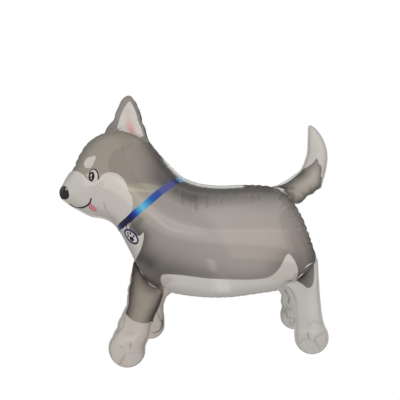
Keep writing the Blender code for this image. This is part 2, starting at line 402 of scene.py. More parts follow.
# both faces of the weld, from the seam out to the cut edge, and the edge itself
def weldFaces(at, n, count):
    nearMid, nearRim, farMid, farRim = (2 * n + k * count for k in range(4))
    polygons = []
    for i in range(count):
        j = (i + 1) % count
        a, b = at[i], at[j]
        polygons += [(b, a, nearMid + i, nearMid + j),
                     (nearMid + j, nearMid + i, nearRim + i, nearRim + j),
                     (a + n, b + n, farMid + j, farMid + i),
                     (farMid + i, farMid + j, farRim + j, farRim + i),
                     (nearRim + j, nearRim + i, farRim + i, farRim + j)]
    return polygons


def inWorld(coords, place):
    return (coords + place + (drawnShift, 0, 0)) / 1000


# one inflated piece from its settings, and where its points lie on the flat sheets
def makeFoil(name, shape, trees=()):
    cut = evenLoop(shape["edge"], film["step"])
    width = np.array([shape["weld"](x, z) for x, z in cut])
    seam = cut + inwards(cut) * width[:, None]
    folds, gathers = shape["folds"], shape["gathers"]
    verts, faces, order = layPattern(seam, shape.get("finer", []), shape.get("lines", []))
    n, count = len(verts), len(seam)
    onSeam = (order >= 0) & (order < count)
    distance, along = lineDistance(verts, seam, True)
    half = swellSheet(shape, verts, faces, onSeam, distance)

    # the gathers hollow the sheets and pull them in at the weld
    length, weight, creases = makePuckers(seam, gathers, shape["seed"])
    w, pleat, depth, _ = gather(along, distance, length, weight, creases)
    nearest = np.clip(np.searchsorted(length, along, side="right") - 1, 0, count - 1)
    half = half * (1 - gathers["depth"] * w * pleat * depth) + film["weldThickness"] / 2
    pull = gathers["pull"] * w * pleat * np.exp(-distance / film["pullReach"])
    moved = verts + inwards(seam)[nearest] * pull[:, None]
    halves = {-1: half.copy(), 1: half.copy()}
    for item in folds:
        near, fade = alongFold(verts, item, 0.2)
        dent = item["depth"] * near ** 1.4 * fade
        for side in item["sides"]:
            halves[side] -= np.minimum(dent, 0.7 * halves[side])

    # the weld sways where it is gathered
    w, pleat, _, lean = gather(length[:-1], np.zeros(count), length, weight, creases)
    rim = cut + inwards(cut) * (gathers["pull"] * w * pleat)[:, None]
    sway = gathers["sway"] * w * lean * (0.4 + 0.6 * pleat)
    middle = (seam + rim) / 2
    coords = [np.stack([moved[:, 0], side * halves[side], moved[:, 1]], axis=1)
              for side in (-1, 1)]
    flat = [verts, verts]
    for side in (-1, 1):
        for ring, part, source in ((middle, 0.6, (seam + cut) / 2), (rim, 1.0, cut)):
            y = side * film["weldThickness"] / 2 + sway * part
            coords.append(np.stack([ring[:, 0], y, ring[:, 1]], axis=1))
            flat.append(source)
    coords = np.vstack(coords)
    if "bow" in shape:
        coords[:, 1] += shape["bow"](coords[:, 0], coords[:, 2])

    at = {int(order[i]): i for i in np.nonzero(onSeam)[0]}
    polygons = [tuple(f) for f in faces] + [tuple(int(v) + n for v in f[::-1]) for f in faces]
    polygons += weldFaces(at, n, count)
    made = {
        "flat": np.vstack(flat),
        "side": np.r_[-np.ones(n), np.ones(n), -np.ones(2 * count), np.ones(2 * count)],
        "beyond": np.r_[np.zeros(2 * n), np.tile(np.r_[width / 2, width], 2)],
        "inside": np.r_[distance, distance, np.zeros(4 * count)],
    }
    place = np.array(shape.get("place", (0.0, 0.0, 0.0)))
    made["tree"] = BVHTree.FromPolygons([tuple(c) for c in inWorld(coords, place)], polygons)
    for lip in shape.get("lips", []):
        before = len(coords)
        coords = addLip(coords, polygons, lip, [made["tree"]] + list(trees), place)
        made["flat"] = np.vstack([made["flat"], coords[before:, [0, 2]]])
        for key, value in (("side", -1.0), ("beyond", film["lipMark"]), ("inside", 0.0)):
            made[key] = np.r_[made[key], np.full(len(coords) - before, value)]
    made["lip"] = made["beyond"] == film["lipMark"]
    made["weld"] = made["beyond"] > 0
    # painted shade: each fold darkens the film along its line, on the sheets it is on
    made["folds"] = np.zeros(len(coords))
    for item in folds:
        near, fade = alongFold(made["flat"], item, 0.15)
        ink = item["dark"] * near * fade * np.isin(made["side"], item["sides"])
        made["folds"] = np.maximum(made["folds"], ink)

    mesh = bpy.data.meshes.new(name)
    mesh.from_pydata(inWorld(coords, place).tolist(), [], polygons)
    mesh.update()
    piece = bpy.data.objects.new(name, mesh)
    bpy.context.scene.collection.objects.link(piece)
    print(name, len(mesh.vertices), "points", len(polygons), "faces")
    return piece, made


def paint(piece, name, values):
    layer = piece.data.attributes.new(name, "FLOAT", "POINT")
    layer.data.foreach_set("value", np.asarray(values, dtype=np.float32))


# bare foil shows on the lips and on a strip of the weld; the lips' bright silver also stands in
# for their glint, a painted highlight
def bareFoil(made, strip=False):
    return np.where(made["lip"], 3.0, np.where(strip, 2.2, -1.2))


def finishFoil(piece, node, mat):
    piece.data.materials.append(mat)
    bpy.ops.object.select_all(action="DESELECT")
    piece.select_set(True)
    bpy.context.view_layer.objects.active = piece
    bpy.ops.object.shade_smooth_by_angle(angle=math.radians(film["smoothAngle"]))
    piece.select_set(False)
    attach(piece, "root")
    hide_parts(node)


# the same piece on the dog's right side, as its own mesh
def otherSide(piece, name):
    copy = piece.copy()
    copy.data = piece.data.copy()
    copy.name = name
    copy.data.name = name
    bpy.context.scene.collection.objects.link(copy)
    bpy.ops.object.select_all(action="DESELECT")
    copy.select_set(True)
    bpy.context.view_layer.objects.active = copy
    bpy.ops.object.mode_set(mode="EDIT")
    bpy.ops.mesh.select_all(action="SELECT")
    bpy.ops.transform.mirror(constraint_axis=(False, True, False), center_override=(0, 0, 0))
    bpy.ops.mesh.flip_normals()
    bpy.ops.object.mode_set(mode="OBJECT")
    copy.select_set(False)
    return copy


# signed distance to a patch whose seen edge is smooth and whose rest is off the sheet
def region(points, seen, outside):
    return patch(points, np.vstack([curveThrough(seen, 8), np.array(outside, dtype=float)]))


# darkness from the passes: mostly the print's sprayed gradient, and painted shade where a pass
# runs under a crease
def airbrush(points, passes):
    light = np.ones(len(points))
    for line, reach, strength in passes:
        away, _ = lineDistance(points, curveThrough(line, 8), False)
        light = light * (1 - strength * np.exp(-(away / reach) ** 1.6))
    return 1 - light


# a short way to wire one material or the world
class Graph:
    def __init__(self, tree):
        self.nodes = tree.nodes
        self.links = tree.links

    @classmethod
    def forMaterial(cls, name):
        mat = bpy.data.materials.new(name)
        mat.use_nodes = True
        g = cls(mat.node_tree)
        g.mat = mat
        return g

    def feed(self, value, socket):
        if isinstance(value, bpy.types.NodeSocket):
            self.links.new(value, socket)
        else:
            socket.default_value = value

    def attribute(self, name):
        node = self.nodes.new("ShaderNodeAttribute")
        node.attribute_name = name
        return node.outputs["Fac"]

    def step(self, source, start, end):
        node = self.nodes.new("ShaderNodeMapRange")
        node.interpolation_type = "SMOOTHSTEP"
        node.inputs["From Min"].default_value = start
        node.inputs["From Max"].default_value = end
        self.feed(source, node.inputs["Value"])
        return node.outputs["Result"]

    def times(self, one, other):
        return self.math("MULTIPLY", one, other)

    def without(self, value):
        return self.math("SUBTRACT", 1.0, value)

    # where a print is, with a soft edge this wide either way
    def printed(self, name, soft=0.35):
        return self.step(self.attribute(name), -soft, soft)

    # slow cloudiness, up to the given amount
    def cloud(self, scale, start, end, amount):
        return self.times(self.step(self.noise(scale, 1), start, end), amount)

    def mix(self, mask, under, over):
        node = self.nodes.new("ShaderNodeMix")
        node.data_type = "RGBA"
        self.feed(mask, node.inputs["Factor"])
        self.feed(under, node.inputs[6])
        self.feed(over, node.inputs[7])
        return node.outputs[2]

    def math(self, operation, *values):
        node = self.nodes.new("ShaderNodeMath")
        node.operation = operation
        for i, value in enumerate(values):
            self.feed(value, node.inputs[i])
        return node.outputs[0]

    def ramp(self, source, stops):
        node = self.nodes.new("ShaderNodeValToRGB")
        self.feed(source, node.inputs["Fac"])
        band = node.color_ramp
        band.elements[0].position, band.elements[0].color = stops[0]
        band.elements[1].position, band.elements[1].color = stops[-1]
        for position, colour in stops[1:-1]:
            band.elements.new(position).color = colour
        return node.outputs["Color"]

    def noise(self, scale, detail):
        place = self.nodes.new("ShaderNodeTexCoord")
        node = self.nodes.new("ShaderNodeTexNoise")
        node.inputs["Scale"].default_value = scale
        node.inputs["Detail"].default_value = detail
        self.links.new(place.outputs["Object"], node.inputs["Vector"])
        return node.outputs["Fac"]

    def background(self, colour, strength):
        node = self.nodes.new("ShaderNodeBackground")
        self.feed(colour, node.inputs["Color"])
        node.inputs["Strength"].default_value = strength
        return node.outputs["Background"]

    def blend(self, mask, under, over):
        node = self.nodes.new("ShaderNodeMixShader")
        self.feed(mask, node.inputs["Fac"])
        self.links.new(under, node.inputs[1])
        self.links.new(over, node.inputs[2])
        return node.outputs["Shader"]

    # glossy printed film, faintly uneven
    def foil(self, colour, finish):
        shader = self.nodes["Principled BSDF"]
        self.links.new(colour, shader.inputs["Base Color"])
        for name, value in finish.items():
            shader.inputs[name].default_value = value
        bump = self.nodes.new("ShaderNodeBump")
        bump.inputs["Strength"].default_value = 0.05
        bump.inputs["Distance"].default_value = 0.001
        self.links.new(self.noise(60, 2), bump.inputs["Height"])
        self.links.new(bump.outputs["Normal"], shader.inputs["Normal"])
        return self.mat


# the body

def bodyWeld(x, z):
    if z > 300:
        return 3.8 + 2.6 * rise(x, -86, -30) * rise(-x, -150, -96)
    return 4.2 - 2.7 * rise(-z, -175, -130)


def fullBelly(verts, half):
    most = half.max()
    low = ease(240.3 - verts[:, 1], 0, 90.8)
    power = 1.0 - 0.2 * low
    return most * (np.maximum(half, 0) / most) ** power


# every line is in the one drawing from the side. The weld's width is by place, finer boxes
# get denser points, gathers run between two points of the edge with their own strength, and
# each "...Outside" closes a patch beyond the sheet
body = {
    "edge": [(-303, 343.5), (-296, 357.5), (-281.5, 379.5), (-267.5, 392), (-260.5, 408),
             (-250, 425), (-234, 444), (-209, 458.5), (-165.5, 467.5), (-134.5, 461),
             (-104.5, 440.5), (-84, 412), (-60, 380.5), (-35.8, 353.8), (-6.6, 337.4),
             (36.5, 327.2), (88.5, 324), (134, 319), (164.5, 308.5), (186, 287), (202.5, 256),
             (213.5, 221.5), (221.5, 185), (225.5, 159), (213.5, 133), (187.5, 112.5), (148, 103),
             (95, 98.5), (42.5, 95.7), (-5, 98.9), (-53.5, 107.5), (-95, 121), (-124.5, 144),
             (-143.5, 169), (-152.5, 193), (-166, 224), (-179.5, 252), (-194, 269),
             (-212.5, 278.5), (-236.5, 284.5), (-261, 299), (-283.5, 314), (-299.5, 329.5)],
    "swell": 1.27,
    "seed": 4,
    "finer": [(-300, -178, 283, 410, 1.5), (-168, -104, 216, 278, 1.0)],
    "gathers": {"stretches": [((-104, 438), (-232, 446), 0.45), ((-232, 446), (-268, 392), 1.0),
                              ((-268, 392), (-300, 350), 0.35), ((-205, 279), (-262, 302), 0.35),
                              ((225, 160), (90, 324), 1.0)],
                "pitch": (10.0, 19.0), "reach": (5.0, 15.0),
                "pull": 2.4, "depth": 0.29, "sway": 1.2},
    "weld": bodyWeld,
    "fuller": fullBelly,
    "folds": [
        fold([(-31.4, 323), (-30.5, 307), (-29.7, 286)], 2.6, 1.3, 0.45),
        fold([(-4.6, 308), (-4.6, 290), (-4.9, 272)], 2.6, 1.5, 0.5),
        fold([(16.3, 306), (16.2, 290), (15.7, 277)], 2.4, 1.1, 0.35),
        fold([(34, 306), (35, 294), (33, 284)], 2.4, 0.9, 0.25),
        fold([(47, 305), (46.5, 294), (43, 283)], 2.4, 1.0, 0.35),
        fold([(66, 304), (63, 293), (57, 285)], 2.2, 0.8, 0.2),
    ],
    "face": {
        "white": [(-275, 396), (-254.5, 380.5), (-246.4, 378.5), (-236.4, 374), (-227.6, 367),
                  (-219.6, 358), (-206, 349), (-193, 352.5), (-183.4, 361.1), (-175.6, 364.5),
                  (-166.6, 364.5), (-154.1, 360.8), (-144.8, 353.1), (-137.8, 342.5),
                  (-134.1, 332.2), (-132, 322.6), (-127.1, 314.3), (-125.5, 301.8), (-127.5, 288),
                  (-133, 281), (-147, 270)],
        "whiteOutside": [(-164, 256), (-200, 240), (-300, 270), (-340, 330), (-300, 400)],
        "nose": [(-304, 353.4), (-296, 354.6), (-285, 353.8), (-275.8, 350.4), (-269.6, 342),
                 (-268.4, 334), (-271.0, 328.2), (-277.0, 325.4), (-285, 325), (-293, 326.5),
                 (-303, 330), (-314, 343)],
        "noseShine": ((-274.8, 344.6), 3.2, 1.8, -40),
        "eyeWhite": [(-217.2, 365), (-214.0, 371.5), (-207, 375.2), (-200.5, 373), (-195.5, 367.5),
                     (-193.2, 359.5), (-195.3, 353), (-202.4, 350.6), (-211, 352.3), (-216, 358)],
        "lid": [(-214.0, 367.8), (-211.3, 372.2), (-207.4, 374.8), (-203.2, 375.3),
                (-199.0, 373.7), (-195.8, 370.2), (-193.4, 364.6), (-192.9, 359.0),
                (-193.7, 353.8)],
        "iris": ((-208.0, 361.0), 9.9, 7.2, 82),
        "irisShine": [((-208.6, 363.4), 3.4, 1.5, 58), ((-208.6, 357.2), 1.6, 1.4, 0)],
        "brow": [(-226.2, 391.0), (-221.9, 398.8), (-212.5, 402.5), (-198.3, 401.5), (-202.5, 388),
                 (-206.6, 380.8), (-216.3, 378.9), (-223.5, 383.2)],
        "marks": [[(-200.5, 339.9), (-191, 345), (-182.4, 348.4)],
                  [(-192.5, 337.8), (-187, 341.2), (-182.4, 343.3)]],
        "mouth": [(-283.0, 317.0), (-272.1, 309.5), (-259.7, 305.6), (-249, 304.0),
                  (-239.5, 304.3), (-226.9, 307.4), (-219.2, 312.3), (-215.1, 318.0)],
        "tongue": [(-228.9, 305.6), (-219.9, 310.4), (-214.5, 305), (-210.5, 297.5),
                   (-213.0, 292.8), (-221.0, 294.1), (-227.0, 299.4)],
        "jowl": [(-186.7, 313), (-188.5, 300), (-187.2, 289), (-181, 277.5), (-169, 267)],
    },
    "collar": {
        "upper": [(-30, 361), (-45.1, 347.3), (-58.5, 336), (-71.6, 326), (-84.4, 316.1),
                  (-96.8, 305.8), (-108.6, 297), (-123.3, 287.6), (-135.2, 279.3), (-146.1, 272),
                  (-163, 264), (-183, 254.5)],
        "lower": [(-10, 361), (-33.7, 338.3), (-40.3, 332), (-55.6, 320.2), (-71.5, 307.4),
                  (-88.2, 294.4), (-107.3, 281.2), (-122.6, 271.2), (-136.8, 262.4),
                  (-155.5, 253.6), (-163, 251.6), (-178, 246)],
        "slider": [(-147.6, 269.4), (-147.2, 265), (-145.4, 261)],
        "link": [[(-142.5, 262), (-145.0, 256), (-145.5, 250)],
                 [(-140, 262), (-137.5, 256), (-139, 249)]],
        "tag": ((-138.5, 235.7), 20.0, 12.3, -40),
        "paw": [((-137.8, 231.2), 6.2, 4.3, -40), ((-146.0, 237.6), 2.9, 2.0, 30),
                ((-145.2, 243.2), 2.9, 2.0, 75), ((-138.8, 241.8), 3.1, 2.2, -80),
                ((-132.0, 236.2), 2.9, 2.1, -55)],
        "length": 190.0,
        # along the upper edge, from the nape to the throat
        "blues": [(0.0, (150, 200, 220)), (0.095, (110, 172, 206)), (0.12, (30, 32, 92)),
                  (0.16, (66, 68, 132)), (0.30, (74, 80, 150)), (0.335, (40, 62, 150)),
                  (0.43, (34, 100, 182)), (0.51, (66, 158, 206)), (0.55, (106, 188, 208)),
                  (0.60, (52, 138, 200)), (0.64, (28, 80, 174)), (0.68, (26, 42, 130)),
                  (0.73, (16, 18, 70)), (0.895, (18, 22, 78)), (0.915, (60, 112, 160)),
                  (1.0, (96, 140, 176))],
    },
    "coat": {
        "chest": [(-135, 262), (-137, 249), (-128.5, 239.5), (-118, 236), (-109.0, 242.0),
                  (-109.0, 234.0), (-113.6, 221.0), (-121.9, 206.2), (-138.4, 188.2)],
        "chestOutside": [(-170, 180), (-210, 240), (-180, 275)],
        "belly": [(-84, 121.7), (-85.5, 133), (-86.5, 144.8), (-84.5, 152.8), (-80.8, 157.6),
                  (-68, 158.4), (-39.4, 154.9), (3.7, 146.4), (46.6, 140.8), (100.2, 136.5),
                  (122.5, 138.8), (139.8, 150.8), (151.3, 167.5), (156.5, 175.6), (161.6, 179.6),
                  (167, 175.5), (172.4, 166.7), (176.9, 155.2), (178.6, 143.6), (177.1, 130.2)],
        "bellyOutside": [(205, 127), (232, 170), (250, 100), (0, 60), (-150, 100), (-165, 165),
                         (-140, 160), (-115, 132)],
        # painted light: the sheen band and the streak are painted reflections that lighten the
        # grey, the crown patch is a painted reflection that darkens the head, and the patch behind
        # the ears is painted shade
        "sheen": [(-140, 331), (-137, 334.8), (-128, 337.4), (-110.6, 337.8), (-93.1, 335.8),
                  (-80.3, 332), (-70, 326), (-74, 320.5), (-92.3, 318.8), (-107.4, 320.5),
                  (-124.7, 322), (-137, 326)],
        "highlightStreak": [(-106, 288), (-82, 268), (-61, 248), (-34, 236.5), (0, 228.5)],
        "crown": [(-168.4, 340), (-168.6, 359.5), (-170.2, 390.5), (-158.8, 410.9),
                  (-130.5, 418.6), (-97.9, 419.4)],
        "crownOutside": [(-60, 420), (-20, 350), (-80, 318), (-125, 330)],
        "shadeBehindEars": [(-147, 424), (-143, 401), (-130, 370), (-117, 339)],
        "shadeBehindEarsOutside": [(-60, 330), (-20, 350), (-60, 430)],
    },
    "airbrush": [  # line, reach and strength of each pass
        ([(-134, 459), (-104, 438), (-84, 412), (-60, 380), (-36, 352)], 30, 0.66),
        ([(-104, 432), (-84, 404), (-62, 372), (-40, 346), (-7, 330), (40, 321), (100, 318)], 9,
         0.45),
        ([(-60, 368), (-36, 346), (-7, 330), (36, 320), (88, 318), (134, 312)], 33, 0.86),
        ([(-70, 350), (-40, 316), (-12, 302)], 19, 0.6),
        ([(-12, 302), (20, 298)], 12, 0.25),
        ([(120, 318), (165, 306), (186, 287), (203, 256), (214, 221), (222, 185), (224, 160)], 32,
         0.45),
        ([(80, 322), (134, 317), (165, 306), (186, 287), (203, 256), (214, 221), (222, 185),
          (224, 160)], 11, 0.5),
        ([(-268, 392), (-260, 408), (-250, 425), (-234, 444)], 54, 0.58),
        ([(-268, 392), (-260, 408), (-250, 425), (-234, 444), (-209, 458), (-180, 464)], 10, 0.55),
        ([(-135, 262), (-126, 250), (-118, 240)], 12, 0.85),
        ([(-114, 266), (-121, 258)], 9, 0.45),
        ([(-106, 236), (-111, 219), (-122, 200)], 9, 0.5),
        ([(-137, 192), (-126, 194), (-114, 188), (-104, 181)], 22, 0.95),
        ([(-122, 206), (-114, 190), (-96, 174), (-74, 162)], 50, 0.44),
        ([(-86, 166), (-58, 168), (-20, 162), (20, 154)], 20, 0.3),
        ([(-86, 158), (-70, 162), (-39, 158), (4, 150), (46, 144), (100, 140), (121, 143),
          (138, 156), (156, 178)], 13, 0.35),
        ([(180, 150), (182, 130), (204, 140), (226, 165)], 34, 0.72),
    ],
}
face, collar, coat = (body[key] for key in ("face", "collar", "coat"))
body["lines"] = [(face["mouth"], 1.6), (face["lid"], 1.3), (face["jowl"], 2.0),
                 (face["marks"][0], 1.0), (face["marks"][1], 1.0), (collar["slider"], 1.6)]
body["folds"].append(fold(face["jowl"], 2.6, 1.6, 0.3))

bodyPiece, made = makeFoil("body_film", body)
bodyTree = made["tree"]
flat = made["flat"]
prints = {
    "white": [region(flat, face["white"], face["whiteOutside"]),
              region(flat, coat["chest"], coat["chestOutside"]),
              region(flat, coat["belly"], coat["bellyOutside"]),
              softPatch(flat, face["brow"]), softPatch(flat, face["eyeWhite"])],
    "ink": [softPatch(flat, face["nose"]), patch(flat, oval(*face["iris"])),
            stroke(flat, face["lid"], 0.85, 1.5), stroke(flat, face["mouth"], 1.15, 1.75)],
    "shine": [patch(flat, oval(*o)) for o in face["irisShine"] + [face["noseShine"]]],
    "marks": [stroke(flat, line, 0.5) for line in face["marks"]],
    "tongue": [softPatch(flat, face["tongue"])],
    "collar": [patch(flat, np.vstack([curveThrough(collar["upper"], 8),
                                      curveThrough(collar["lower"], 8)[::-1]]))],
    "collarAlong": [lineDistance(flat, curveThrough(collar["upper"], 8), False)[1]],
    "collarInk": [stroke(flat, collar["slider"], 2.3)],
    "link": [stroke(flat, line, 0.7) + 0.3 for line in collar["link"]],
    "tag": [patch(flat, oval(*collar["tag"]))],
    "paw": [patch(flat, oval(*o)) for o in collar["paw"]],
    "folds": [made["folds"]],
    "olive": [ease(-flat[:, 0], 60, 130) * ease(flat[:, 1], 240, 290)],
    # painted reflections: the light streak and sheen band, and the darker crown patch
    "highlightStreak": [ease(stroke(flat, coat["highlightStreak"], 8.0, 4.0), 0, 7) * ease(-flat[:, 0], -6, 40)],
    "sheen": [softPatch(flat, coat["sheen"])],
    "crown": [region(flat, coat["crown"], coat["crownOutside"])],
}
for name, parts in prints.items():
    paint(bodyPiece, name, np.maximum.reduce(parts))

# bare foil shows where the weld stands up along the neck and back
onBack = ease(flat[:, 0], -92, -60) * ease(-flat[:, 0], -106, -84) * (flat[:, 1] > 280)
strip = np.where(made["weld"] & (made["beyond"] < 3.5), 2.2, np.where(made["weld"], -0.8, -1.0))
paint(bodyPiece, "bare", strip - 4.0 * (1 - onBack))

# painted shade: the head behind the ears is darkened on top of the sprayed gradient
shadeBehindEars = region(flat, coat["shadeBehindEars"], coat["shadeBehindEarsOutside"])
paint(bodyPiece, "shade", airbrush(flat, body["airbrush"]) + 0.16 * ease(shadeBehindEars, -3, 3))
print("body printed")

# materials share these inks

inks = {
    "light": tone(174, 166, 160),
    "dark": tone(65, 65, 63),
    "white": tone(210, 207, 201),
    "silver": tone(228, 228, 226),
    "black": tone(16, 10, 5),
    "navy": tone(24, 26, 84),
    "pink": tone(214, 138, 146),
    "brown": tone(150, 126, 112),
    # painted shade: the whites of the legs and tail darken toward the seam in this grey
    "outline": tone(128, 122, 118),
    "olive": tone(177, 170, 156),
    # sheen and streak are painted reflections on the foil
    "sheen": tone(200, 194, 174),
    "highlightStreak": tone(199, 190, 185),
    "warm": tone(155, 142, 133),
    "cream": tone(209, 200, 194),
    "link": tone(52, 50, 58),
    "tag": tone(226, 224, 222),
}
foilFinish = {"Metallic": 0.27, "Roughness": 0.14, "Specular IOR Level": 0.1,
              "Coat Weight": 0.65, "Coat Roughness": 0.05}
legFinish = {"Metallic": 0.1, "Roughness": 0.26, "Specular IOR Level": 0.15,
             "Coat Weight": 0.45, "Coat Roughness": 0.08}


def bodyMaterial():
    g = Graph.forMaterial("printed body film")
    grey = g.mix(g.attribute("olive"), inks["light"], inks["olive"])
    # painted light on the grey: the sheen band and streak as painted reflections, the shade
    # attribute as sprayed ink with painted shade in it, the crown patch as a darker painted
    # reflection
    grey = g.mix(g.times(g.printed("sheen", 1.5), 0.9), grey, inks["sheen"])
    grey = g.mix(g.attribute("shade"), grey, inks["dark"])
    grey = g.mix(g.times(g.attribute("highlightStreak"), 0.4), grey, inks["highlightStreak"])
    grey = g.mix(g.times(g.printed("crown", 1.5), 0.28), grey, inks["dark"])
    grey = g.mix(g.cloud(5, 0.38, 0.66, 0.4), grey, inks["warm"])
    whites = g.mix(g.cloud(11, 0.42, 0.6, 0.5), inks["white"], inks["cream"])
    colour = g.mix(g.printed("white"), grey, whites)
    colour = g.mix(g.printed("marks", 0.3), colour, inks["brown"])
    # painted shade along the folds
    colour = g.mix(g.attribute("folds"), colour, inks["dark"])
    colour = g.mix(g.printed("bare", 0.5), colour, inks["silver"])
    along = g.math("DIVIDE", g.attribute("collarAlong"), collar["length"])
    blues = g.ramp(along, [(at, tone(*blue)) for at, blue in collar["blues"]])
    faded = g.without(g.times(g.printed("bare", 0.5), 0.8))
    colour = g.mix(g.times(g.printed("collar"), faded), colour, blues)
    for name, ink in (("link", "link"), ("collarInk", "black"), ("tag", "navy")):
        colour = g.mix(g.printed(name, 0.3), colour, inks[ink])
    colour = g.mix(g.step(g.attribute("tag"), 3.7, 4.2), colour, inks["tag"])
    for name, ink, soft in (("paw", "black", 0.3), ("tongue", "pink", 0.3), ("ink", "black", 0.35),
                            ("shine", "white", 0.35)):
        colour = g.mix(g.printed(name, soft), colour, inks[ink])
    return g.foil(colour, foilFinish)


finishFoil(bodyPiece, "body", bodyMaterial())

# the legs

legOut = 98.0  # from the middle of the dog to the middle of a leg


def footArc(radius, start, end, steps):
    turn = [math.radians(start + (end - start) * i / (steps - 1)) for i in range(steps)]
    return [(radius * math.cos(a), radius * math.sin(a)) for a in turn]


# bends the flat leg in towards the body at its top
def legBow(wrap):
    (xa, za, ya), (xb, zb, yb) = wrap

    def bow(x, z):
        k = np.clip((x - xa) / (xb - xa), -0.2, 1.3)
        crease = za + (zb - za) * k
        return (legOut - (ya + (yb - ya) * k)) * ease(z, 11.0, crease)
    return bow


def frontWeld(x, z):
    wide = 1.6 if x < 5 and 25 < z < 120 else 0.0
    return 4.2 + wide - 3.0 * rise(-z, 5, 20) - 1.9 * rise(z, 120, 132)


def rearWeld(x, z):
    narrow = 2.0 * rise(z, 20, 35) if x < 10 and z < 96 else 0.0
    return max(4.2 - 3.0 * rise(-z, 5, 20) - 1.9 * rise(z, 84, 96) - narrow, 1.2)


frontLeg = {
    "edge": [(2, 153), (-3, 136), (-6, 113), (-8, 96), (-6, 79), (-8.6, 66), (-16, 52),
             (-20.5, 37), (-28, 22.5)]
            + [(x - 0.6, z) for x, z in footArc(34.9, 165, 364, 9)]
            + [(36.6, 7), (42.2, 16.5), (45.6, 27), (47.2, 38), (51.5, 51), (59, 66), (64.8, 81),
               (67.5, 94), (59, 104), (43, 111), (28, 122), (15, 137)],
    "place": (-150.0, -legOut, 32.3),
    "swell": 1.25,
    "weld": frontWeld,
    "colours": {"light": (168, 158, 146), "dark": (42, 35, 32), "white": (196, 190, 184),
                "cream": (192, 180, 172), "mottle": 0.22},
    "bow": legBow(((4, 154, 10), (69, 97, 54))),
    "sock": [(-30, 63), (-12, 64), (-1, 59.4), (11.6, 52.4), (23.7, 47), (36.0, 43.4),
             (46.5, 42.4), (64, 42)],
    "sockOutside": [(90, 60), (90, 190), (-40, 190)],
    "farSide": {"z": (2, 9, 16, 20, 27, 38, 50, 63, 74, 94),
                "lean": (0, 4, 7.5, 9.5, 10.8, 8.4, 7.0, 6.0, -5, -7), "footBack": 3.0},
    "seed": 11,
    "gathers": {"stretches": [((-7, 120), (-30, 14), 0.9), ((43, 16), (68, 90), 0.12),
                              ((6, 150), (-7, 112), 0.3)],
                "pitch": (15.0, 26.0), "reach": (4.0, 10.0),
                "pull": 2.6, "depth": 0.26, "sway": 0.8},
    "finer": [(-32, 34, -30, 34, 2.2)],
    "folds": [
        fold([(-0.1, 60), (-4, 48), (-3.6, 40.8), (-12, 33.5), (-21, 27)], 2.4, 1.4, 0.4,
             nearSheet),
        fold([(-31, 14.4), (-18.3, 11.9), (-6.3, 7.8), (-0.4, 1.9), (1.0, -5.8)], 2.4, 0.7, 0.08),
        fold([(1.0, -5.8), (-4, -13), (-11.3, -22.8), (-13, -27)], 3.4, 1.5, 0.3),
        fold([(1.0, -5.8), (8.0, -1.8), (13.4, -4.4), (22, -6.6), (31, -10.5)], 2.4, 0.8, 0.12),
        fold([(8.1, 11.9), (13.4, 13.0), (11.6, 8), (9.8, 3.0)], 2.0, 1.0, 0.55),
        fold([(-8.5, 9.4), (-5, 6.6)], 1.8, 0.6, 0.5),
        fold([(0, 29.6), (9.0, 32.0), (19.2, 29.1)], 4.5, 1.0, 0.14),
        fold([(38, 70), (34, 52), (31, 34), (29.7, 8), (27.6, -7), (22.5, -15.5), (13, -18),
              (4, -17)], 2.8, 1.6, 0.55, farSheet),
        fold([(31, 12), (29.7, 2), (27.6, -7), (22.5, -15.5), (13, -18), (4, -17.2)], 2.1, 0.6,
             0.95, farSheet),
    ],
    "airbrush": [([(2, 158), (-4, 136), (-7, 113), (-8, 96), (-8, 79), (-10, 60)], 14, 1.0),
                 ([(2, 158), (-3, 136), (-5, 113), (-6, 96), (-6, 79), (-8, 60)], 12, 0.8),
                 ([(2, 158), (-3, 136), (-4, 113), (-4, 96), (-2, 79), (-2, 60)], 26, 0.42),
                 ([(66, 79), (63, 73), (58, 63), (52, 51), (48, 40)], 16, 0.86),
                 # painted shade: dark under the crease along the leg's top
                 ([(0, 158), (14, 138), (28, 122), (43, 111), (54, 105)], 10, 0.78),
                 ([(50, 97), (40, 101), (30, 109)], 9, 0.28)],
    "lips": [{"line": [(-117.6, 145.3), (-112.0, 140.8), (-103.2, 135.5), (-92.0, 130.8)],
              "width": 1.7, "lift": 2.2},
             {"line": [(-134, 171), (-129, 160), (-122, 150.5)], "width": 0.9, "lift": 1.6}],
}
